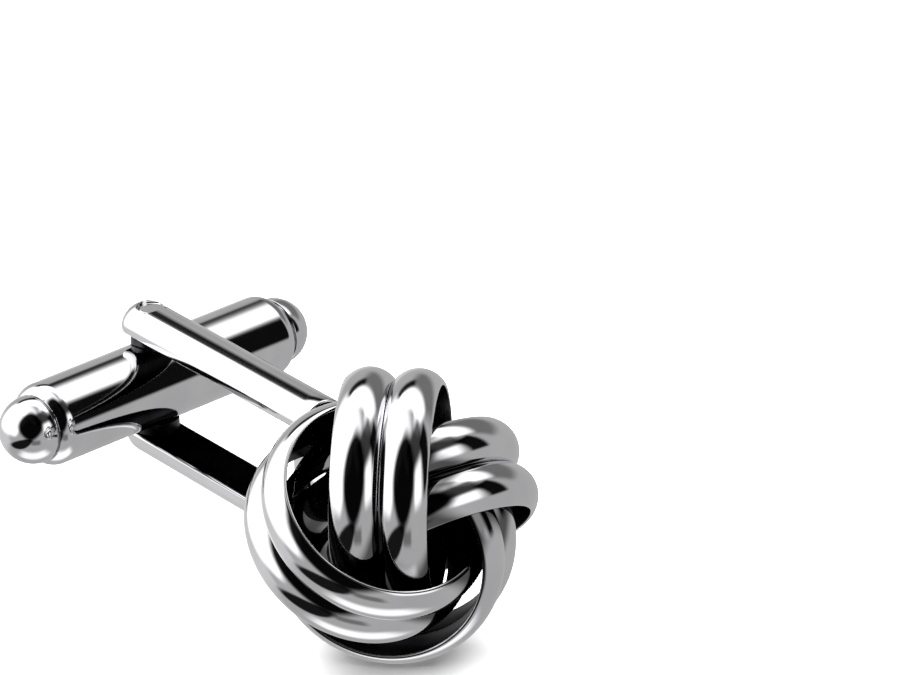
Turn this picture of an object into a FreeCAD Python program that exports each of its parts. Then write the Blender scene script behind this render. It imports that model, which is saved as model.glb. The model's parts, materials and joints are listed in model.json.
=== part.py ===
import FreeCAD, Part
import math
import os
import Sketcher

# Knot cufflink with a swivel bar. The post runs along Y, the knot faces -Y, the toggle lies across the
# post and turns about Z. The origin is the cuff seat: the back of the knot, on the axis of the post.

doc = FreeCAD.newDocument("knot_cufflink")

# The named sizes in millimetres and degrees. Every piece below is driven by this sheet.
SIZES = [
    # Knot: four linked loops, each a band of two half-round strands.
    ("strand_width", 2.35),
    ("strand_thickness", 0.8),
    ("strand_edge", 0.18),
    ("strand_seam", 0.02),
    ("knot_turn_angle", -1.0),
    # Fork: two half-round legs on a web, with a collared peg that enters the knot.
    ("leg_width", 2.68),
    ("leg_thickness", 1.44),
    ("leg_edge", 0.35),
    ("tip_reach", 1.78),
    ("web_thickness", 1.0),
    ("web_seat_gap", 0.05),
    ("swing_clearance", 4.6),
    ("peg_clearance", 0.3),
    ("peg_end", 0.1),
    ("collar_overlap", 0.4),
    ("collar_thickness", 0.6),
    ("collar_inset", 1.9),
    # Hinge pin, riveted flush into the legs, and the spacer washers on it.
    ("pin_radius", 0.7),
    ("rivet_flat_depth", 0.2),
    ("rivet_flat_margin", 0.12),
    ("rivet_chamfer", 0.08),
    ("pin_flat_depth", 0.175),
    ("pin_flat_inset", 0.15),
    ("washer_wall", 0.42),
    ("washer_thickness", 0.6),
    # Toggle: a tubular barrel closed by two knobs, and how far it is turned from square to the post.
    ("toggle_turn_angle", 11.2),
    ("barrel_half_length", 8.15),
    ("barrel_wall", 0.69),
    ("barrel_end_land", 0.29),
    ("shoulder_radius", 1.0),
    ("pad_depth", 0.16),
    ("pad_margin", 0.1),
    ("knob_rim", 0.05),
    ("groove_width", 0.15),
    ("groove_depth", 0.25),
    ("spigot_length", 1.9),
    # Leaf spring inside the barrel.
    ("spring_width", 1.5),
    ("spring_thickness", 0.22),
    ("spring_bow", 0.26),
    ("spring_end_gap", 0.4),
    # Clearances, and how far cuts run past a face.
    ("running_clearance", 0.03),
    ("press_clearance", 0.01),
    ("cut_overrun", 0.5),
]

# The weave: how far the loops lean, of a right angle, and how the bore and the offset of a loop follow
# the strands that pass through it. The larger of the two sums leaves room for both.
LOOP_TILT_SHARE = 0.539
BORE_WIDE_SHARES = (2.136, 0.0)
BORE_THICK_SHARES = (1.83, 0.9)
OFFSET_WIDE_SHARES = (0.585, 0.0)
OFFSET_THICK_SHARES = (0.278, 0.9)

sheet = doc.addObject("Spreadsheet::Sheet", "sizes")
for row, (alias, number) in enumerate(SIZES, start=1):
    sheet.set("A%d" % row, alias)
    sheet.set("B%d" % row, str(number))
    sheet.setAlias("B%d" % row, alias)
doc.recompute()


class Size:
    """A length with its present value and the sheet expression that drives it."""

    def __init__(self, value, text):
        self.value = value
        self.text = text

    def __add__(self, other):
        other = as_size(other)
        return Size(self.value + other.value, "(%s + %s)" % (self.text, other.text))

    def __sub__(self, other):
        other = as_size(other)
        return Size(self.value - other.value, "(%s - %s)" % (self.text, other.text))

    def __mul__(self, other):
        other = as_size(other)
        return Size(self.value * other.value, "(%s * %s)" % (self.text, other.text))

    def __truediv__(self, other):
        other = as_size(other)
        return Size(self.value / other.value, "(%s / %s)" % (self.text, other.text))

    def __neg__(self):
        return Size(-self.value, "(-1 * %s)" % self.text)


def as_size(number):
    return number if isinstance(number, Size) else Size(float(number), repr(float(number)))


def root(square):
    return Size(math.sqrt(square.value), "sqrt(%s)" % square.text)


def larger(one, other):
    return Size(max(one.value, other.value), "max(%s; %s)" % (one.text, other.text))


def crown_radius(width, rise):
    # Radius of an arc over a chord of this width with this rise.
    return (width * width / 4 + rise * rise) / (rise * 2)


def short_rise(radius, across, along):
    # Rise of the shorter arc of this radius over a chord with these two legs.
    return radius - root(radius * radius - (across * across + along * along) / 4)


size = {alias: Size(number, "sizes." + alias) for alias, number in SIZES}
zero = Size(0.0, "0")


def new_body(label):
    body = doc.addObject("PartDesign::Body", label)
    body.Label = label
    return body


def new_sketch(body, name, plane, offset=None):
    # A sketch on one of the body's own planes, moved along the plane's normal by the offset.
    sketch = body.newObject("Sketcher::SketchObject", name)
    face = [item for item in body.Origin.OriginFeatures if item.Role == plane][0]
    sketch.AttachmentSupport = [(face, "")]
    sketch.MapMode = "FlatFace"
    if offset is not None:
        sketch.AttachmentOffset = FreeCAD.Placement(FreeCAD.Vector(0, 0, offset.value), FreeCAD.Rotation())
        sketch.setExpression("AttachmentOffset.Base.z", offset.text)
    return sketch


def drive(sketch, number, driver):
    sketch.setExpression("Constraints[%d]" % number, driver.text)


def fix_point(sketch, geometry, end, x, y):
    for kind, axis, driver in (("DistanceX", -2, x), ("DistanceY", -1, y)):
        if driver.text == "0":
            sketch.addConstraint(Sketcher.Constraint("PointOnObject", geometry, end, axis))
        else:
            constraint = Sketcher.Constraint(kind, -1, 1, geometry, end, driver.value)
            drive(sketch, sketch.addConstraint(constraint), driver)


def outline(sketch, corners):
    # A closed outline. Each corner is (x, y), or (x, y, rise, bulge) where an arc of that rise leads
    # on to the next corner, bulging to the left (+1) or right (-1) of the way.
    count = len(corners)
    first = sketch.GeometryCount
    radii = {}
    for index, corner in enumerate(corners):
        after = corners[(index + 1) % count]
        begin = FreeCAD.Vector(corner[0].value, corner[1].value, 0)
        finish = FreeCAD.Vector(after[0].value, after[1].value, 0)
        if len(corner) == 2:
            sketch.addGeometry(Part.LineSegment(begin, finish), False)
            continue
        across = after[0] - corner[0]
        along = after[1] - corner[1]
        chord = root(across * across + along * along)
        radii[index] = crown_radius(chord, corner[2])
        side = FreeCAD.Vector(begin.y - finish.y, finish.x - begin.x, 0).normalize()
        middle = (begin + finish) * 0.5 + side * (corner[2].value * corner[3])
        sketch.addGeometry(Part.Arc(begin, middle, finish), False)
    # An arc runs anticlockwise, so one that bulges left of the way starts at its far corner.
    starts = [2 if len(corner) == 4 and corner[3] > 0 else 1 for corner in corners]
    for index in range(count):
        after = (index + 1) % count
        end = 3 - starts[index]
        join = Sketcher.Constraint("Coincident", first + index, end, first + after, starts[after])
        sketch.addConstraint(join)
    for index, corner in enumerate(corners):
        fix_point(sketch, first + index, starts[index], corner[0], corner[1])
        if index in radii:
            bend = Sketcher.Constraint("Radius", first + index, radii[index].value)
            drive(sketch, sketch.addConstraint(bend), radii[index])


def disc(sketch, x, y, radius):
    centre = FreeCAD.Vector(x.value, y.value, 0)
    circle = sketch.addGeometry(Part.Circle(centre, FreeCAD.Vector(0, 0, 1), radius.value), False)
    fix_point(sketch, circle, 3, x, y)
    drive(sketch, sketch.addConstraint(Sketcher.Constraint("Radius", circle, radius.value)), radius)


def revolve(body, name, sketch, axis):
    feature = body.newObject("PartDesign::Revolution", name)
    feature.Profile = sketch
    feature.ReferenceAxis = (sketch, [axis])
    feature.Angle = 360.0
    return feature


def pad(body, name, sketch, length, reverse=False, both=False):
    feature = body.newObject("PartDesign::Pad", name)
    feature.Profile = sketch
    feature.Length = length.value
    feature.setExpression("Length", length.text)
    feature.Reversed = reverse
    if both:
        feature.SideType = "Symmetric"
    return feature


def pocket(body, name, sketch, length, reverse=False, both=False):
    feature = body.newObject("PartDesign::Pocket", name)
    feature.Profile = sketch
    feature.Length = length.value
    feature.setExpression("Length", length.text)
    feature.Reversed = reverse
    if both:
        feature.SideType = "Symmetric"
    return feature


# Knot. Each strand is a half-round ring: flat inside, crowned outside, with thin edge walls. Two
# strands side by side make the band of a loop, and each loop leans over the next one of the four.
def weave(wide_shares, thick_shares):
    sums = []
    for width_share, thickness_share in (wide_shares, thick_shares):
        sums.append(size["strand_width"] * width_share + size["strand_thickness"] * thickness_share)
    return larger(sums[0], sums[1])


tilt = math.radians(90.0 * LOOP_TILT_SHARE)
loop_bore = weave(BORE_WIDE_SHARES, BORE_THICK_SHARES)
loop_offset = weave(OFFSET_WIDE_SHARES, OFFSET_THICK_SHARES)
strand_rise = size["strand_thickness"] - size["strand_edge"]
strand_crown = crown_radius(size["strand_width"], strand_rise)
crown_centre = loop_bore + size["strand_thickness"] - strand_crown
strand_middle = size["strand_seam"] / 2 + size["strand_width"] / 2
band_edge = size["strand_seam"] / 2 + size["strand_width"]
# The hindmost line of the leaning crowns is the seat that the cuff bears on.
knot_half_depth = (
    crown_centre.value * math.sin(tilt)
    + strand_middle.value * math.cos(tilt)
    + strand_crown.value
)
# The opening between the four bands, at the back and at the front of the knot.
opening_radius = root(loop_bore * loop_bore - loop_offset * loop_offset) * math.cos(tilt)
opening_radius = opening_radius - band_edge * math.sin(tilt)

LOOPS = [("right", 0), ("top", 1), ("left", 2), ("bottom", 3)]
for loop_name, quarter in LOOPS:
    turn = math.radians(size["knot_turn_angle"].value + 90.0 * quarter)
    outward = FreeCAD.Vector(math.cos(turn), 0, math.sin(turn))
    across = FreeCAD.Vector(-math.sin(turn), 0, math.cos(turn))
    forward = FreeCAD.Vector(0, -1, 0)
    loop_axis = forward * math.cos(tilt) - across * math.sin(tilt)
    centre = outward * loop_offset.value + forward * knot_half_depth
    for strand_name, hand in (("front", 1), ("rear", -1)):
        body = new_body("%s_loop_%s_strand" % (loop_name, strand_name))
        sketch = new_sketch(body, "strand_section", "XZ_Plane")
        edge = loop_bore + size["strand_edge"]
        near = size["strand_seam"] / 2 * hand
        far = band_edge * hand
        outline(sketch, [
            (loop_bore, near),
            (edge, near, strand_rise, -hand),
            (edge, far),
            (loop_bore, far),
        ])
        revolve(body, "strand_ring", sketch, "V_Axis")
        body.Placement = FreeCAD.Placement(
            centre, FreeCAD.Rotation(FreeCAD.Vector(0, 0, 1), loop_axis))

# Sizes that the fork, the pin and the toggle share. The bore takes the pin and the bowed spring beside
# it, the legs stand clear of the barrel by the washers, and the pivot stands far enough from the web
# for the toggle to swing between the legs.
pin = size["pin_radius"]
spring_low = pin + size["running_clearance"]
spring_high = spring_low + size["spring_thickness"]
spring_top = spring_high + size["spring_bow"] + size["running_clearance"]
half_spring_width = size["spring_width"] / 2
bore = root(spring_top * spring_top + half_spring_width * half_spring_width)
barrel = bore + size["barrel_wall"]
barrel_end = size["barrel_half_length"]
end_radius = bore + size["barrel_end_land"]
ball_face = barrel_end + size["groove_width"]
ball_centre = ball_face + size["knob_rim"]
pad_height = barrel - size["pad_depth"]
washer_low = pad_height + size["running_clearance"]
washer_high = washer_low + size["washer_thickness"]
washer_bore = pin + size["running_clearance"]
washer_radius = washer_bore + size["washer_wall"]
leg_inner = washer_high + size["running_clearance"]
leg_outer = leg_inner + size["leg_thickness"]
web_seat = size["web_seat_gap"]
web_floor = web_seat + size["web_thickness"]
pivot_reach = web_floor + size["swing_clearance"] + ball_centre + end_radius
pivot = FreeCAD.Vector(0, pivot_reach.value, 0)
pin_seat = FreeCAD.Placement(pivot, FreeCAD.Rotation())
toggle_turn = FreeCAD.Rotation(FreeCAD.Vector(0, 0, 1), size["toggle_turn_angle"].value)
toggle_seat = FreeCAD.Placement(pivot, toggle_turn)

# Fork. A web lies on the back of the knot, two half-round legs rise from it, and a peg goes down
# through the opening between the loops. The leg tips are round, with a flat where the pin ends.
body = new_body("post_fork")
half_leg = size["leg_width"] / 2
leg_rise = size["leg_thickness"] - size["leg_edge"]
leg_crown = crown_radius(size["leg_width"], leg_rise)
tip_centre = pivot_reach + size["tip_reach"] - half_leg
tip_rise = short_rise(leg_crown, half_leg, leg_rise)
peg_radius = opening_radius - size["peg_clearance"]
peg_depth = size["collar_inset"] + size["collar_thickness"] + size["peg_end"]

sketch = new_sketch(body, "web_section", "XZ_Plane", -web_seat)
web_half = leg_inner + size["leg_edge"]
outline(sketch, [
    (-half_leg, -web_half),
    (half_leg, -web_half),
    (half_leg, web_half),
    (-half_leg, web_half),
])
pad(body, "web", sketch, size["web_thickness"], reverse=True)

for side_name, hand in (("upper", 1), ("lower", -1)):
    sketch = new_sketch(body, side_name + "_leg_section", "XZ_Plane", -web_seat)
    inner = leg_inner * hand
    shoulder = (leg_inner + size["leg_edge"]) * hand
    outline(sketch, [
        (-half_leg, inner),
        (-half_leg, shoulder, leg_rise, hand),
        (half_leg, shoulder),
        (half_leg, inner),
    ])
    pad(body, side_name + "_leg", sketch, tip_centre - web_seat, reverse=True)

    sketch = new_sketch(body, side_name + "_tip_section", "YZ_Plane")
    tip_end = tip_centre + half_leg
    outline(sketch, [
        (tip_centre, inner),
        (tip_end, inner),
        (tip_end, shoulder, tip_rise, -hand),
        (tip_centre, leg_outer * hand),
    ])
    foot = FreeCAD.Vector(tip_centre.value, 0, 0)
    head = FreeCAD.Vector(tip_centre.value, leg_outer.value * hand, 0)
    axis_line = sketch.addGeometry(Part.LineSegment(foot, head), True)
    fix_point(sketch, axis_line, 1, tip_centre, zero)
    fix_point(sketch, axis_line, 2, tip_centre, leg_outer * hand)
    revolve(body, side_name + "_tip", sketch, "Axis0")

sketch = new_sketch(body, "peg_section", "XZ_Plane", -web_seat)
disc(sketch, zero, zero, peg_radius)
pad(body, "peg", sketch, peg_depth)

sketch = new_sketch(body, "pin_hole_section", "XY_Plane")
disc(sketch, zero, pivot_reach, pin + size["press_clearance"])
pocket(body, "pin_hole", sketch, (leg_outer + size["cut_overrun"]) * 2, both=True)

rivet_plane = leg_outer - size["rivet_flat_depth"]
rivet_flat_radius = pin + size["rivet_flat_margin"]
for side_name, hand in (("upper", 1), ("lower", -1)):
    sketch = new_sketch(body, side_name + "_rivet_flat_section", "XY_Plane", rivet_plane * hand)
    disc(sketch, zero, pivot_reach, rivet_flat_radius)
    depth = size["rivet_flat_depth"] + size["cut_overrun"]
    pocket(body, side_name + "_rivet_flat", sketch, depth, reverse=hand > 0)

# Collar: brazed on the peg inside the knot, wider than the opening that the peg came through.
body = new_body("peg_collar")
sketch = new_sketch(body, "collar_section", "XZ_Plane", -web_seat + size["collar_inset"])
disc(sketch, zero, zero, opening_radius + size["collar_overlap"])
disc(sketch, zero, zero, peg_radius + size["press_clearance"])
pad(body, "collar", sketch, size["collar_thickness"])

# Hinge pin: round where it runs in the legs and the barrel wall, with two flats at the middle for
# the leaf spring, and a small chamfer at each riveted end.
body = new_body("hinge_pin")
sketch = new_sketch(body, "pin_section", "XZ_Plane")
chamfer = size["rivet_chamfer"]
outline(sketch, [
    (zero, -rivet_plane),
    (pin - chamfer, -rivet_plane),
    (pin, -rivet_plane + chamfer),
    (pin, rivet_plane - chamfer),
    (pin - chamfer, rivet_plane),
    (zero, rivet_plane),
])
revolve(body, "pin_round", sketch, "V_Axis")
sketch = new_sketch(body, "pin_flat_section", "YZ_Plane")
flat = pin - size["pin_flat_depth"]
flat_end = bore - size["pin_flat_inset"]
flat_far = pin + size["cut_overrun"]
for hand in (1, -1):
    outline(sketch, [
        (flat * hand, -flat_end * hand),
        (flat_far * hand, -flat_end * hand),
        (flat_far * hand, flat_end * hand),
        (flat * hand, flat_end * hand),
    ])
pocket(body, "pin_flats", sketch, (pin + size["cut_overrun"]) * 2, both=True)
body.Placement = pin_seat

# Toggle barrel: a tube with rounded shoulders, a cross hole for the pin, and a round pad sunk into
# each side for the spacer washer.
body = new_body("toggle_barrel")
sketch = new_sketch(body, "barrel_section", "XY_Plane")
shoulder_drop = barrel - end_radius
shoulder_run = root(shoulder_drop * (size["shoulder_radius"] * 2 - shoulder_drop))
shoulder_start = barrel_end - shoulder_run
shoulder_rise = short_rise(size["shoulder_radius"], shoulder_run, shoulder_drop)
outline(sketch, [
    (-barrel_end, bore),
    (barrel_end, bore),
    (barrel_end, end_radius, shoulder_rise, -1),
    (shoulder_start, barrel),
    (-shoulder_start, barrel, shoulder_rise, -1),
    (-barrel_end, end_radius),
])
revolve(body, "barrel_tube", sketch, "H_Axis")
sketch = new_sketch(body, "cross_hole_section", "XY_Plane")
disc(sketch, zero, zero, pin + size["running_clearance"])
pocket(body, "cross_hole", sketch, (barrel + size["cut_overrun"]) * 2, both=True)
for side_name, hand in (("upper", 1), ("lower", -1)):
    sketch = new_sketch(body, side_name + "_pad_section", "XY_Plane", pad_height * hand)
    disc(sketch, zero, zero, washer_radius + size["pad_margin"])
    depth = size["pad_depth"] + size["cut_overrun"]
    pocket(body, side_name + "_pad", sketch, depth, reverse=hand > 0)
body.Placement = toggle_seat

# End knobs: each is a half ball with a spigot pressed into the barrel and a neck that leaves a groove.
neck = end_radius - size["groove_depth"]
spigot = bore - size["press_clearance"]
spigot_end = barrel_end - size["spigot_length"]
ball_rise = short_rise(end_radius, end_radius, end_radius)
for knob_name, hand in (("right", 1), ("left", -1)):
    body = new_body("%s_end_knob" % knob_name)
    sketch = new_sketch(body, "knob_section", "XY_Plane")
    outline(sketch, [
        (spigot_end * hand, zero),
        (spigot_end * hand, spigot),
        (barrel_end * hand, spigot),
        (barrel_end * hand, neck),
        (ball_face * hand, neck),
        (ball_face * hand, end_radius),
        (ball_centre * hand, end_radius, ball_rise, hand),
        ((ball_centre + end_radius) * hand, zero),
    ])
    revolve(body, "knob", sketch, "H_Axis")
    body.Placement = toggle_seat

# Leaf spring: a bowed strip inside the barrel, beside the pin, shown as it is while the pin's round
# passes it. Its ends lean on the bore and its middle clears the pin.
body = new_body("detent_spring")
sketch = new_sketch(body, "spring_section", "XY_Plane")
spring_half = spigot_end - size["spring_end_gap"]
outline(sketch, [
    (-spring_half, spring_low + size["spring_bow"], size["spring_bow"], -1),
    (spring_half, spring_low + size["spring_bow"]),
    (spring_half, spring_high + size["spring_bow"], size["spring_bow"], 1),
    (-spring_half, spring_high + size["spring_bow"]),
])
pad(body, "spring_leaf", sketch, size["spring_width"], both=True)
body.Placement = toggle_seat

# Spacer washers: they ride on the pin and fill the room between the barrel's pads and the legs.
for side_name, hand in (("upper", 1), ("lower", -1)):
    body = new_body("%s_pivot_washer" % side_name)
    sketch = new_sketch(body, "washer_section", "XZ_Plane")
    outline(sketch, [
        (washer_bore, washer_low * hand),
        (washer_radius, washer_low * hand),
        (washer_radius, washer_high * hand),
        (washer_bore, washer_high * hand),
    ])
    revolve(body, "washer", sketch, "V_Axis")
    body.Placement = pin_seat

doc.recompute()

bodies = [item for item in doc.Objects if item.TypeId == "PartDesign::Body"]
for item in doc.Objects:
    if "Invalid" in item.State or "Error" in item.State:
        raise RuntimeError("%s (%s): %s" % (item.Name, item.Label, item.State))
os.makedirs("parts", exist_ok=True)
for body in bodies:
    shape = body.Shape
    if shape.isNull() or not shape.isValid() or len(shape.Solids) != 1:
        raise RuntimeError("%s has no single sound solid" % body.Label)
    shape.exportStep("parts/%s.step" % body.Label)
    print("%-26s %9.4f mm3" % (body.Label, shape.Volume))
print("knot half depth %.4f" % knot_half_depth)
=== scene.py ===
import json
import math

import bmesh
import bpy
from mathutils import Matrix, Vector


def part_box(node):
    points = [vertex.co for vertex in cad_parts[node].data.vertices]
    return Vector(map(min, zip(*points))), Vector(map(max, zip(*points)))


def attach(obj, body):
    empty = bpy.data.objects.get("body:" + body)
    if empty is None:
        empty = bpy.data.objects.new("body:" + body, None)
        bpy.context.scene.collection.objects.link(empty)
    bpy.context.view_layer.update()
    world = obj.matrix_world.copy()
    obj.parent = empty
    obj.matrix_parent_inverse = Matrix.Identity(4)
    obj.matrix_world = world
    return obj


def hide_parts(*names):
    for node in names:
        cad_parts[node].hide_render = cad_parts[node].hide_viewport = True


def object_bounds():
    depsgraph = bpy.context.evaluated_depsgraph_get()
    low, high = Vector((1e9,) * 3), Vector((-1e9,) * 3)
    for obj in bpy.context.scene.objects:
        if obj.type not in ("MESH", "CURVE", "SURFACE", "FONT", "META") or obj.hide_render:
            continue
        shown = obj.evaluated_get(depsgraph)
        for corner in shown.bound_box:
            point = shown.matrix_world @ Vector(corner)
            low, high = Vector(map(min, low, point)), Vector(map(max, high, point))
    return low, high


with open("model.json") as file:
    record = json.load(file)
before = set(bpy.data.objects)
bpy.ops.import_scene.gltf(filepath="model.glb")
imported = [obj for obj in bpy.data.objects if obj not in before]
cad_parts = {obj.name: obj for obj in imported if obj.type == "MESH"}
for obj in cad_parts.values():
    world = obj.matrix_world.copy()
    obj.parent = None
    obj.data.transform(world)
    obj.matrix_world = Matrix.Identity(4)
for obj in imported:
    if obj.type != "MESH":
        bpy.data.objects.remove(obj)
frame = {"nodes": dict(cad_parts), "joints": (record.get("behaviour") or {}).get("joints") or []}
cad_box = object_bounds()

# Knot strands: eight half-round rings of drawn brass wire, soldered side by side into four double loops.
# Each loop is threaded through its two neighbours and leans over the next one. The knot is then polished
# and plated. The inner faces of the strands and the middle of the knot are darkened as painted shade.
STRAND_WIDTH = 0.00235
STRAND_THICKNESS = 0.0008
STRAND_EDGE = 0.00018
STRAND_SEAM = 0.00002
STRAND_CORNER = 0.00006
LOOP_BORE = 0.0050205
LOOP_OFFSET = 0.00137475
LOOP_TILT = math.radians(48.51)
KNOT_TURN = math.radians(-1.0)
ARC_STEPS = 28
RING_STEPS = 192
SHARP_ANGLE = math.radians(30.0)
WELD_DISTANCE = 0.0000001
CORNER_SEGMENTS = 3
CLOUD_SCALE = 420.0
CLOUD_DETAIL = 3.0
CLOUD_BAND = (0.35, 0.65)
HAIRLINE_SCALE = 5200.0
HAIRLINE_DETAIL = 2.0
HAIRLINE_STRENGTH = 0.05
HAIRLINE_DEPTH = 0.00001
PLATE_COLOUR = (0.80, 0.80, 0.815, 1.0)
PLATE_SHADE = (0.74, 0.74, 0.755, 1.0)
PLATE_ROUGHNESS = (0.035, 0.075)
PLATE_SHEEN = (1.0, 1.0, 1.0, 1.0)
# The inside colours are painted shade: near-black inner faces stand for the dark inside of the loops.
INSIDE_PAINTED_SHADE = (0.110, 0.110, 0.115, 1.0)
INSIDE_SHADE = (0.070, 0.070, 0.074, 1.0)
INSIDE_ROUGHNESS = (0.20, 0.32)
INSIDE_SHEEN = (0.30, 0.30, 0.30, 1.0)
INSIDE_FACING = 0.9
# The hollow values paint shade: within this radius of the knot's middle, colour and sheen drop to this
# share.
HOLLOW_RADIUS = 0.00566
HOLLOW_BLUR = 0.00016
HOLLOW_SHADE = 0.2


def metal_finish(name, colour, shade, roughness, sheen=PLATE_SHEEN):
    # Metal with a faint cloudiness in its colour and gloss, and the hairlines left by the polishing wheel.
    finish = bpy.data.materials.new(name)
    finish.use_nodes = True
    tree = finish.node_tree
    shader = tree.nodes["Principled BSDF"]
    shader.inputs["Metallic"].default_value = 1.0
    shader.inputs["Specular Tint"].default_value = sheen
    place = tree.nodes.new("ShaderNodeTexCoord")

    cloud = tree.nodes.new("ShaderNodeTexNoise")
    cloud.inputs["Scale"].default_value = CLOUD_SCALE
    cloud.inputs["Detail"].default_value = CLOUD_DETAIL
    tree.links.new(place.outputs["Object"], cloud.inputs["Vector"])
    tint = tree.nodes.new("ShaderNodeValToRGB")
    tint.color_ramp.elements[0].position = CLOUD_BAND[0]
    tint.color_ramp.elements[0].color = shade
    tint.color_ramp.elements[1].position = CLOUD_BAND[1]
    tint.color_ramp.elements[1].color = colour
    tree.links.new(cloud.outputs["Fac"], tint.inputs["Fac"])
    tree.links.new(tint.outputs["Color"], shader.inputs["Base Color"])

    haze = tree.nodes.new("ShaderNodeMapRange")
    haze.inputs["To Min"].default_value = roughness[0]
    haze.inputs["To Max"].default_value = roughness[1]
    tree.links.new(cloud.outputs["Fac"], haze.inputs["Value"])
    tree.links.new(haze.outputs["Result"], shader.inputs["Roughness"])

    hairline = tree.nodes.new("ShaderNodeTexNoise")
    hairline.inputs["Scale"].default_value = HAIRLINE_SCALE
    hairline.inputs["Detail"].default_value = HAIRLINE_DETAIL
    tree.links.new(place.outputs["Object"], hairline.inputs["Vector"])
    bump = tree.nodes.new("ShaderNodeBump")
    bump.inputs["Strength"].default_value = HAIRLINE_STRENGTH
    bump.inputs["Distance"].default_value = HAIRLINE_DEPTH
    tree.links.new(hairline.outputs["Fac"], bump.inputs["Height"])
    tree.links.new(bump.outputs["Normal"], shader.inputs["Normal"])
    return finish


def paint_hollow_shade(finish, centre):
    # Paints shade towards the middle of the knot: colour and edge sheen darken near its centre.
    tree = finish.node_tree
    shader = tree.nodes["Principled BSDF"]
    plate = shader.inputs["Base Color"].links[0].from_socket
    place = tree.nodes.new("ShaderNodeTexCoord")
    depth = tree.nodes.new("ShaderNodeVectorMath")
    depth.operation = "DISTANCE"
    depth.inputs[1].default_value = centre
    tree.links.new(place.outputs["Object"], depth.inputs[0])
    hollow_shade_mask = tree.nodes.new("ShaderNodeMapRange")
    hollow_shade_mask.interpolation_type = "SMOOTHSTEP"
    hollow_shade_mask.inputs["From Min"].default_value = HOLLOW_RADIUS - HOLLOW_BLUR
    hollow_shade_mask.inputs["From Max"].default_value = HOLLOW_RADIUS + HOLLOW_BLUR
    hollow_shade_mask.inputs["To Min"].default_value = HOLLOW_SHADE
    tree.links.new(depth.outputs["Value"], hollow_shade_mask.inputs["Value"])
    darker = tree.nodes.new("ShaderNodeVectorMath")
    darker.operation = "SCALE"
    tree.links.new(plate, darker.inputs[0])
    tree.links.new(hollow_shade_mask.outputs["Result"], darker.inputs["Scale"])
    tree.links.new(darker.outputs["Vector"], shader.inputs["Base Color"])
    tree.links.new(hollow_shade_mask.outputs["Result"], shader.inputs["Specular Tint"])


def draw(shape, corners):
    # Draws an outline through corners given as (radius, height). A third number is the angle of the arc
    # that leads on to the next corner, positive where the arc turns to the left.
    last = shape.verts.new((corners[0][0], 0, corners[0][1]))
    for corner, after in zip(corners, corners[1:]):
        if len(corner) == 2:
            start = last
            last = shape.verts.new((after[0], 0, after[1]))
            shape.edges.new((start, last))
            continue
        chord = Vector((after[0] - corner[0], 0, after[1] - corner[1]))
        aside = Vector((-chord.z, 0, chord.x)) / (2 * math.tan(corner[2] / 2))
        bend = bmesh.ops.spin(
            shape, geom=[last], cent=last.co + chord / 2 + aside, axis=(0, -1, 0), angle=corner[2],
            steps=ARC_STEPS)
        last = [item for item in bend["geom_last"] if isinstance(item, bmesh.types.BMVert)][0]


def close_shell(shape):
    # Welds the seams and the poles, and turns every face outward.
    bmesh.ops.remove_doubles(shape, verts=shape.verts[:], dist=WELD_DISTANCE)
    bmesh.ops.recalc_face_normals(shape, faces=shape.faces[:])


def turned(corners, steps):
    # A lathe part: the outline turned about the Z axis.
    shape = bmesh.new()
    draw(shape, corners)
    bmesh.ops.spin(
        shape, geom=shape.verts[:] + shape.edges[:], cent=(0, 0, 0), axis=(0, 0, 1), angle=2 * math.pi,
        steps=steps, use_merge=True)
    close_shell(shape)
    return shape


def round_corners(shape, radius, segments):
    # Breaks every sharp edge, as tumbling and polishing do.
    corners = [edge for edge in shape.edges if edge.is_manifold and edge.calc_face_angle() > SHARP_ANGLE]
    bmesh.ops.bevel(
        shape, geom=corners, offset=radius, offset_type="OFFSET", affect="EDGES",
        segments=segments, profile=0.5, material=-1, clamp_overlap=True)


def set_piece(name, shape, finishes, body, node):
    # Turns a shape into a piece of the object that stands for its node and moves with its body.
    mesh = bpy.data.meshes.new(name)
    for face in shape.faces:
        face.smooth = True
    for edge in shape.edges:
        edge.smooth = edge.calc_face_angle(0.0) < SHARP_ANGLE
    shape.to_mesh(mesh)
    shape.free()
    for finish in finishes:
        mesh.materials.append(finish)
    piece = bpy.data.objects.new(name, mesh)
    bpy.context.scene.collection.objects.link(piece)
    even = piece.modifiers.new("even_normals", "WEIGHTED_NORMAL")
    even.keep_sharp = True
    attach(piece, body)
    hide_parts(node)


strand_rise = STRAND_THICKNESS - STRAND_EDGE
crown_radius = (STRAND_WIDTH ** 2 / 4 + strand_rise ** 2) / (2 * strand_rise)
crown_angle = 2 * math.asin(STRAND_WIDTH / 2 / crown_radius)
ledge_radius = LOOP_BORE + STRAND_EDGE
knot_middle = (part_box("top_loop_front_strand")[0].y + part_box("top_loop_rear_strand")[1].y) / 2
forward = Vector((0, -1, 0))
knot_plate = metal_finish("knot_plate", PLATE_COLOUR, PLATE_SHADE, PLATE_ROUGHNESS)
# Painted shade: the knot's plate darkens towards the middle of the knot.
paint_hollow_shade(knot_plate, (0, knot_middle, 0))
knot_painted_shade = metal_finish("knot_painted_shade", INSIDE_PAINTED_SHADE, INSIDE_SHADE, INSIDE_ROUGHNESS, INSIDE_SHEEN)

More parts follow.
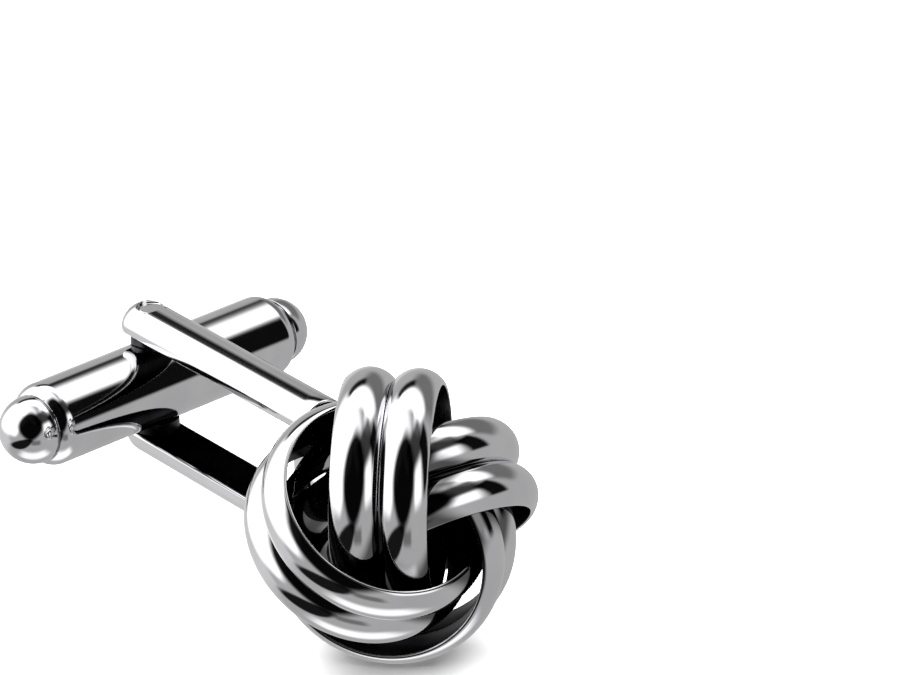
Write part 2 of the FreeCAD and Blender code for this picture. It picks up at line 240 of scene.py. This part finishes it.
for quarter, loop_name in enumerate(("right", "top", "left", "bottom")):
    turn = KNOT_TURN + quarter * math.pi / 2
    outward = Vector((math.cos(turn), 0, math.sin(turn)))
    across = Vector((-math.sin(turn), 0, math.cos(turn)))
    loop_axis = forward * math.cos(LOOP_TILT) - across * math.sin(LOOP_TILT)
    loop_centre = outward * LOOP_OFFSET + Vector((0, knot_middle, 0))
    loop_seat = Matrix.Translation(loop_centre) @ loop_axis.to_track_quat("Z", "Y").to_matrix().to_4x4()
    for strand_name, hand in (("front", 1), ("rear", -1)):
        near = hand * STRAND_SEAM / 2
        far = near + hand * STRAND_WIDTH
        ring = turned(
            [
                (LOOP_BORE, near), (ledge_radius, near, hand * crown_angle), (ledge_radius, far),
                (LOOP_BORE, far), (LOOP_BORE, near),
            ],
            RING_STEPS)
        round_corners(ring, STRAND_CORNER, CORNER_SEGMENTS)
        # Faces turned toward the ring's axis take the painted-shade finish.
        for face in ring.faces:
            middle = face.calc_center_median()
            if face.normal.dot(Vector((middle.x, middle.y, 0)).normalized()) < -INSIDE_FACING:
                face.material_index = 1
        bmesh.ops.transform(ring, matrix=loop_seat, verts=ring.verts[:])
        node = "%s_loop_%s_strand" % (loop_name, strand_name)
        wire = node.replace("strand", "wire")
        set_piece(wire, ring, (knot_plate, knot_painted_shade), "post", node)

# Peg collar: a turned brass ring, brazed on the end of the fork's peg inside the knot, which keeps the
# fork from pulling out. It is seen only through the gaps between the loops, and its CAD solid serves.
COLLAR_ROUGHNESS = (0.12, 0.22)


def dress(node, finish):
    # Gives the CAD solid of a node its finish.
    solid = frame["nodes"][node].data
    solid.materials.clear()
    solid.materials.append(finish)


dress("peg_collar", metal_finish("collar_plate", PLATE_COLOUR, PLATE_SHADE, COLLAR_ROUGHNESS))

# Fork: a cast brass clevis, two half-round legs with rounded tips on a thin web, with a peg below that
# enters the knot. The outside is polished and plated, and the inner faces of the legs are near black as
# painted shade. The flats near the tips are where the hinge pin is riveted and dressed off.
# The between colours are painted shade: near-black inner faces stand for the dark gap between the legs.
LEG_GAP_PAINTED_SHADE = (0.020, 0.020, 0.021, 1.0)
BETWEEN_SHADE = (0.008, 0.008, 0.009, 1.0)
BETWEEN_ROUGHNESS = (0.18, 0.34)
BETWEEN_SHEEN = (0.04, 0.04, 0.04, 1.0)
LEG_CORNER = 0.00012
LEG_CORNER_SEGMENTS = 4
LEG_EDGE = 0.00035
LEG_CLEARANCE = 0.00003
WEB_SEAT = 0.00005
WEB_THICKNESS = 0.001
PIN_HOLE_RADIUS = 0.00071
RIVET_FLAT_RADIUS = 0.00082
RIVET_FLAT_DEPTH = 0.0002
PEG_RADIUS = 0.00113
PEG_STEPS = 64
TIP_STEPS = 48
pivot = Vector(frame["joints"][0]["pos_m"])
fork_low, fork_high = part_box("post_fork")
half_leg = fork_high.x
leg_outer = fork_high.z
leg_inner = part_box("upper_pivot_washer")[1].z + LEG_CLEARANCE
leg_rise = leg_outer - leg_inner - LEG_EDGE
leg_crown = (half_leg ** 2 + leg_rise ** 2) / (2 * leg_rise)
leg_crown_angle = 2 * math.asin(half_leg / leg_crown)
tip_centre = fork_high.y - half_leg

fork = bmesh.new()
for hand in (1, -1):
    inner = hand * leg_inner
    ledge = hand * (leg_inner + LEG_EDGE)
    draw(fork, [
        (0, inner), (half_leg, inner), (half_leg, ledge, hand * leg_crown_angle), (-half_leg, ledge),
        (-half_leg, inner), (0, inner),
    ])
close_shell(fork)
gap_side = leg_inner + WELD_DISTANCE
inner_edges = [edge for edge in fork.edges if all(abs(vert.co.z) < gap_side for vert in edge.verts)]
for hand in (1, -1):
    leg_edges = [edge for edge in fork.edges if edge.verts[0].co.z * hand > 0]
    bmesh.ops.contextual_create(fork, geom=leg_edges)
bmesh.ops.bridge_loops(fork, edges=inner_edges)
bmesh.ops.translate(fork, vec=(0, WEB_SEAT, 0), verts=fork.verts[:])


def raise_faces(shape, faces, height, keep):
    # Extrudes the faces along the post and gives back the raised ones.
    made = bmesh.ops.extrude_face_region(shape, geom=faces, use_keep_orig=True)["geom"]
    lifted = [item for item in made if isinstance(item, bmesh.types.BMVert)]
    bmesh.ops.translate(shape, vec=(0, height, 0), verts=lifted)
    if not keep:
        bmesh.ops.delete(shape, geom=faces, context="FACES_ONLY")
    return [item for item in made if isinstance(item, bmesh.types.BMFace)]


web_top = raise_faces(fork, fork.faces[:], WEB_THICKNESS, True)
leg_feet = [face for face in web_top if abs(face.calc_center_median().z) > leg_inner]
leg_tops = raise_faces(fork, leg_feet, tip_centre - WEB_SEAT - WEB_THICKNESS, False)
for leg_top in leg_tops:
    half_row = [edge for edge in leg_top.edges if all(vert.co.x > -WELD_DISTANCE for vert in edge.verts)]
    half_verts = list({vert for edge in half_row for vert in edge.verts})
    bmesh.ops.delete(fork, geom=[leg_top], context="FACES_ONLY")
    bmesh.ops.spin(
        fork, geom=half_verts + half_row, cent=(0, tip_centre, 0), axis=(0, 0, 1), angle=math.pi,
        steps=TIP_STEPS)
close_shell(fork)
round_corners(fork, LEG_CORNER, LEG_CORNER_SEGMENTS)


def combine(shape, tool, operation):
    # Joins a second closed shape to the first one, or cuts it away.
    blanks = []
    for part in (shape, tool):
        mesh = bpy.data.meshes.new("blank")
        part.to_mesh(mesh)
        part.free()
        blanks.append(bpy.data.objects.new("blank", mesh))
        bpy.context.scene.collection.objects.link(blanks[-1])
    step = blanks[0].modifiers.new("step", "BOOLEAN")
    step.operation = operation
    step.solver = "EXACT"
    step.object = blanks[1]
    result = bmesh.new()
    result.from_object(blanks[0], bpy.context.evaluated_depsgraph_get())
    for blank in blanks:
        bpy.data.meshes.remove(blank.data)
    return result


peg_root = WEB_SEAT + WEB_THICKNESS / 2
peg = turned([(0, fork_low.y), (PEG_RADIUS, fork_low.y), (PEG_RADIUS, peg_root), (0, peg_root)], PEG_STEPS)
bmesh.ops.rotate(peg, cent=(0, 0, 0), matrix=Matrix.Rotation(-math.pi / 2, 3, "X"), verts=peg.verts[:])
fork = combine(fork, peg, "UNION")


def stepped_drill(hole, hole_end, wide, wide_end, at):
    # The tool for a cross hole with a wider flat at each end.
    drill = turned(
        [
            (0, -wide_end), (wide, -wide_end), (wide, -hole_end), (hole, -hole_end),
            (hole, hole_end), (wide, hole_end), (wide, wide_end), (0, wide_end),
        ],
        PEG_STEPS)
    bmesh.ops.translate(drill, vec=at, verts=drill.verts[:])
    return drill


rivet_drill = stepped_drill(
    PIN_HOLE_RADIUS, leg_outer - RIVET_FLAT_DEPTH, RIVET_FLAT_RADIUS, leg_outer + RIVET_FLAT_DEPTH, pivot)
fork = combine(fork, rivet_drill, "DIFFERENCE")
# Faces turned toward the other leg take the painted-shade finish.
for face in fork.faces:
    height = face.calc_center_median().z
    facing_leg = -face.normal.z * math.copysign(1, height)
    if abs(height) < gap_side and facing_leg > INSIDE_FACING:
        face.material_index = 1
fork_plate = metal_finish("fork_plate", PLATE_COLOUR, PLATE_SHADE, PLATE_ROUGHNESS)
fork_painted_shade = metal_finish("fork_painted_shade", LEG_GAP_PAINTED_SHADE, BETWEEN_SHADE, BETWEEN_ROUGHNESS, BETWEEN_SHEEN)
set_piece("clevis_fork", fork, (fork_plate, fork_painted_shade), "post", "post_fork")

# Hinge pin: drawn brass wire, riveted flush into the flats of the legs and polished and plated with
# them, so that its CAD solid takes the fork's finish.
dress("hinge_pin", fork_plate)

# Spacer washers: two turned steel rings that ride on the pin and fill the room between the legs and
# the barrel, coloured near black as painted shade for the dark gap there. Their CAD solids serve.
# The near-black washer colours are painted shade for the dark gap between the legs and the barrel.
WASHER_PAINTED_SHADE = (0.060, 0.060, 0.064, 1.0)
WASHER_SHADE = (0.040, 0.040, 0.043, 1.0)
WASHER_ROUGHNESS = (0.22, 0.34)
washer_steel = metal_finish("washer_steel", WASHER_PAINTED_SHADE, WASHER_SHADE, WASHER_ROUGHNESS)
for side in ("upper", "lower"):
    dress(side + "_pivot_washer", washer_steel)

# Toggle barrel: a length of brass tube turned with rounded shoulders, with a cross hole for the hinge pin
# and a shallow round pad milled on each side for the spacer washer. It stands a little off square.
TOGGLE_TURN = math.radians(11.2)
BARREL_HALF_LENGTH = 0.00815
BARREL_BORE = 0.001449
BARREL_STEPS = 128
END_RADIUS = 0.001739
SHOULDER_RADIUS = 0.001
CROSS_HOLE_RADIUS = 0.00073
PAD_RADIUS = 0.00125
PAD_DEPTH = 0.00016
END_CORNER = 0.00004
barrel_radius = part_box("toggle_barrel")[1].z
shoulder_drop = barrel_radius - END_RADIUS
shoulder_run = math.sqrt(shoulder_drop * (2 * SHOULDER_RADIUS - shoulder_drop))
shoulder_turn = math.asin(shoulder_run / SHOULDER_RADIUS)
shoulder_start = BARREL_HALF_LENGTH - shoulder_run
lay_along = Matrix.Rotation(math.pi / 2, 4, "Y")
toggle_seat = Matrix.Translation(pivot) @ Matrix.Rotation(TOGGLE_TURN, 4, "Z")

barrel = turned(
    [
        (BARREL_BORE, BARREL_HALF_LENGTH), (END_RADIUS, BARREL_HALF_LENGTH, -shoulder_turn),
        (barrel_radius, shoulder_start), (barrel_radius, -shoulder_start, -shoulder_turn),
        (END_RADIUS, -BARREL_HALF_LENGTH), (BARREL_BORE, -BARREL_HALF_LENGTH),
        (BARREL_BORE, BARREL_HALF_LENGTH),
    ],
    BARREL_STEPS)
round_corners(barrel, END_CORNER, CORNER_SEGMENTS)
bmesh.ops.transform(barrel, matrix=lay_along, verts=barrel.verts[:])
pad_drill = stepped_drill(
    CROSS_HOLE_RADIUS, barrel_radius - PAD_DEPTH, PAD_RADIUS, barrel_radius + PAD_DEPTH, (0, 0, 0))
barrel = combine(barrel, pad_drill, "DIFFERENCE")
bmesh.ops.transform(barrel, matrix=toggle_seat, verts=barrel.verts[:])
toggle_plate = metal_finish("toggle_plate", PLATE_COLOUR, PLATE_SHADE, PLATE_ROUGHNESS)
set_piece("toggle_tube", barrel, (toggle_plate,), "toggle", "toggle_barrel")

# End knobs: turned half balls whose spigots are pressed into the tube. A narrow neck leaves a groove
# between each ball and the end of the tube.
GROOVE_WIDTH = 0.00015
GROOVE_DEPTH = 0.00025
KNOB_RIM = 0.00005
KNOB_CORNER = 0.00002
SPIGOT_LENGTH = 0.0019
SPIGOT_CLEARANCE = 0.00001
ball_face = BARREL_HALF_LENGTH + GROOVE_WIDTH
ball_centre = ball_face + KNOB_RIM
neck = END_RADIUS - GROOVE_DEPTH
spigot = BARREL_BORE - SPIGOT_CLEARANCE
spigot_end = BARREL_HALF_LENGTH - SPIGOT_LENGTH
for side, way in (("right", 1), ("left", -1)):
    knob = turned(
        [
            (0, spigot_end), (spigot, spigot_end), (spigot, BARREL_HALF_LENGTH), (neck, BARREL_HALF_LENGTH),
            (neck, ball_face), (END_RADIUS, ball_face), (END_RADIUS, ball_centre, math.pi / 2),
            (0, ball_centre + END_RADIUS),
        ],
        BARREL_STEPS)
    round_corners(knob, KNOB_CORNER, CORNER_SEGMENTS)
    knob_seat = toggle_seat @ Matrix.Rotation(way * math.pi / 2, 4, "Y")
    bmesh.ops.transform(knob, matrix=knob_seat, verts=knob.verts[:])
    set_piece(side + "_knob", knob, (toggle_plate,), "toggle", side + "_end_knob")

# Detent spring: a bowed strip of spring steel inside the barrel, which clicks on the flats of the pin.
# It is wholly hidden, and its CAD solid serves.
SPRING_COLOUR = (0.42, 0.43, 0.45, 1.0)
SPRING_SHADE = (0.36, 0.37, 0.39, 1.0)
SPRING_ROUGHNESS = (0.20, 0.32)
dress("detent_spring", metal_finish("spring_steel", SPRING_COLOUR, SPRING_SHADE, SPRING_ROUGHNESS))

# Studio table: a plain pale top that the metal doesn't mirror, lit by a broad diffuser overhead that
# whitens the table and doesn't show in the metal either.
TABLE_HALF = 0.9
TABLE_COLOUR = (0.9, 0.9, 0.9, 1.0)
TABLE_ROUGHNESS = 0.9
DIFFUSER_SIZE = 1.4
DIFFUSER_HEIGHT = 0.6
DIFFUSER_POWER = 20.0
floor_shape = bmesh.new()
bmesh.ops.create_grid(floor_shape, x_segments=1, y_segments=1, size=TABLE_HALF)
bmesh.ops.translate(floor_shape, vec=(0, 0, cad_box[0].z), verts=floor_shape.verts[:])
floor_mesh = bpy.data.meshes.new("studio_table")
floor_shape.to_mesh(floor_mesh)
floor_shape.free()
floor = bpy.data.objects.new("studio_table", floor_mesh)
bpy.context.scene.collection.objects.link(floor)
floor.visible_glossy = False
paint = bpy.data.materials.new("studio_table")
paint.use_nodes = True
coat = paint.node_tree.nodes["Principled BSDF"]
coat.inputs["Base Color"].default_value = TABLE_COLOUR
coat.inputs["Roughness"].default_value = TABLE_ROUGHNESS
floor_mesh.materials.append(paint)

lamp = bpy.data.lights.new("overhead_diffuser", "AREA")
lamp.shape = "DISK"
lamp.size = DIFFUSER_SIZE
lamp.energy = DIFFUSER_POWER
lamp_object = bpy.data.objects.new("overhead_diffuser", lamp)
lamp_object.location = (0, 0, DIFFUSER_HEIGHT)
lamp_object.visible_glossy = False
bpy.context.scene.collection.objects.link(lamp_object)

# Light tent: an even grey all round, with soft white panels to the left, behind, at the right and below,
# and black flags in front, at the right, at the back and below. The reflections of the flags draw the
# dark bands on the bright metal.
CAMERA_AZIMUTH = math.radians(-34.0)
TENT = 0.47
TENT_COLOUR = (1.0, 1.0, 1.0, 1.0)
HORIZON_FADE = 0.05
PANELS = (
    # degrees round from the camera's side and up, half width, half height, lean, edge blur; strength
    (-92.0, 33.0, 46.0, 41.0, 0.0, 8.0, 1.1),
    (162.0, 60.0, 36.0, 15.0, 0.0, 5.0, 1.1),
    (-60.0, 80.0, 50.0, 16.0, 0.0, 8.0, 0.9),
    (54.0, 16.0, 15.0, 17.0, 0.0, 6.0, 0.9),
    (100.0, 62.0, 14.0, 10.0, 0.0, 6.0, 0.9),
    (0.0, -80.0, 28.0, 17.0, 0.0, 9.0, 0.85),
    (-132.0, -20.0, 48.0, 22.0, 0.0, 9.0, 0.25),
)
FLAGS = (
    (52.0, 52.0, 26.0, 19.0, 0.0, 8.0, 0.9),
    (88.0, 20.0, 12.0, 23.0, 0.0, 4.0, 0.99),
    (-166.0, 37.0, 17.0, 6.5, 0.0, 4.5, 0.98),
    (146.0, 28.0, 28.0, 16.0, 0.0, 8.0, 0.6),
    (10.0, -25.0, 14.0, 8.0, 0.0, 5.0, 0.6),
)
OVAL_FLAGS = (
    (-6.0, 31.0, 42.0, 48.0, 0.0, 9.0, 0.995),
    (-38.0, -30.0, 14.0, 40.0, -70.0, 5.0, 0.98),
)


def toward(around, height):
    # The direction of a place on the tent, in degrees round from the camera's side and up.
    azimuth = CAMERA_AZIMUTH + math.radians(around)
    level = math.cos(math.radians(height))
    return Vector((math.sin(azimuth) * level, -math.cos(azimuth) * level, math.sin(math.radians(height))))


world = bpy.data.worlds.new("studio")
bpy.context.scene.world = world
world.use_nodes = True
room = world.node_tree
sky = room.nodes.new("ShaderNodeTexCoord").outputs["Generated"]


def figure(operation, first, second=None):
    # One step of arithmetic on what the tent shows in a direction.
    step = room.nodes.new("ShaderNodeMath")
    step.operation = operation
    for socket, value in zip(step.inputs, (first, second)):
        if isinstance(value, bpy.types.NodeSocket):
            room.links.new(value, socket)
        elif value is not None:
            socket.default_value = value
    return step.outputs["Value"]


def along(direction):
    # How far the direction looked at runs along the given one.
    step = room.nodes.new("ShaderNodeVectorMath")
    step.operation = "DOT_PRODUCT"
    room.links.new(sky, step.inputs[0])
    step.inputs[1].default_value = direction
    return step.outputs["Value"]


def fade(value, low, high):
    # Rises smoothly from 0 to 1 between the two limits.
    step = room.nodes.new("ShaderNodeMapRange")
    step.interpolation_type = "SMOOTHSTEP"
    room.links.new(value, step.inputs["Value"])
    step.inputs["From Min"].default_value = low
    step.inputs["From Max"].default_value = high
    return step.outputs["Result"]


def sight(around, height, lean):
    # How far a place on the tent lies ahead, and the angles off it to the side and upward.
    middle = toward(around, height)
    side = Matrix.Rotation(math.radians(lean), 3, middle) @ Vector((0, 0, 1)).cross(middle).normalized()
    ahead = along(middle)
    angles = [
        figure("ARCTAN2", figure("ABSOLUTE", along(axis)), ahead) for axis in (side, middle.cross(side))]
    return fade(ahead, 0.0, HORIZON_FADE), angles


def soft_panel(around, height, half_width, half_height, lean, blur, strength):
    # A soft-edged rectangle on the tent, seen from the object.
    mask, angles = sight(around, height, lean)
    for off, half in zip(angles, (half_width, half_height)):
        edge = fade(off, math.radians(half + blur), math.radians(half - blur))
        mask = figure("MULTIPLY", mask, edge)
    return figure("MULTIPLY", mask, strength)


def soft_oval(around, height, half_width, half_height, lean, blur, strength):
    # A soft-edged oval on the tent, seen from the object.
    mask, angles = sight(around, height, lean)
    shares = [
        figure("DIVIDE", off, math.radians(half)) for off, half in zip(angles, (half_width, half_height))]
    squares = [figure("MULTIPLY", share, share) for share in shares]
    off = figure("SQRT", figure("ADD", *squares))
    blur_share = 2 * blur / (half_width + half_height)
    mask = figure("MULTIPLY", mask, fade(off, 1 + blur_share, 1 - blur_share))
    return figure("MULTIPLY", mask, strength)


light = TENT
for panel in PANELS:
    light = figure("ADD", light, soft_panel(*panel))
shadows = [soft_panel(*flag) for flag in FLAGS] + [soft_oval(*flag) for flag in OVAL_FLAGS]
for shadow in shadows:
    light = figure("MULTIPLY", light, figure("SUBTRACT", 1.0, shadow))
seen = room.nodes.new("ShaderNodeLightPath").outputs["Is Camera Ray"]
backdrop = room.nodes["Background"]
room.links.new(figure("MAXIMUM", light, seen), backdrop.inputs["Strength"])
backdrop.inputs["Color"].default_value = TENT_COLOUR
bpy.context.scene.view_settings.view_transform = "Standard"

# Camera: where the photograph was taken from, found by fitting the legs, the toggle and the knot to it.
# It is aimed by the place of the hinge in the picture.
CAMERA_ELEVATION = math.radians(22.4)
CAMERA_ROLL = math.radians(-1.6)
CAMERA_DISTANCE = 0.3526
SENSOR_WIDTH = 36.0
PHOTO_WIDTH, PHOTO_HEIGHT = 906, 675
FOCAL_PX = 7000.0
PIVOT_PX = (155.25, 379.57)
back = toward(0.0, math.degrees(CAMERA_ELEVATION))
right = Vector((math.cos(CAMERA_AZIMUTH), math.sin(CAMERA_AZIMUTH), 0))
lean = Matrix.Rotation(CAMERA_ROLL, 3, back)
right = lean @ right
up = back.cross(right)
aside = (PIVOT_PX[0] - PHOTO_WIDTH / 2) / FOCAL_PX
above = (PHOTO_HEIGHT / 2 - PIVOT_PX[1]) / FOCAL_PX
camera_data = bpy.data.cameras.new("camera")
camera_data.sensor_fit = "HORIZONTAL"
camera_data.sensor_width = SENSOR_WIDTH
camera_data.lens = FOCAL_PX / PHOTO_WIDTH * SENSOR_WIDTH
camera = bpy.data.objects.new("camera", camera_data)
facing = Matrix((right, up, back)).transposed().to_4x4()
standpoint = pivot + (back - right * aside - up * above) * CAMERA_DISTANCE
camera.matrix_world = Matrix.Translation(standpoint) @ facing
bpy.context.scene.collection.objects.link(camera)
bpy.context.scene.camera = camera
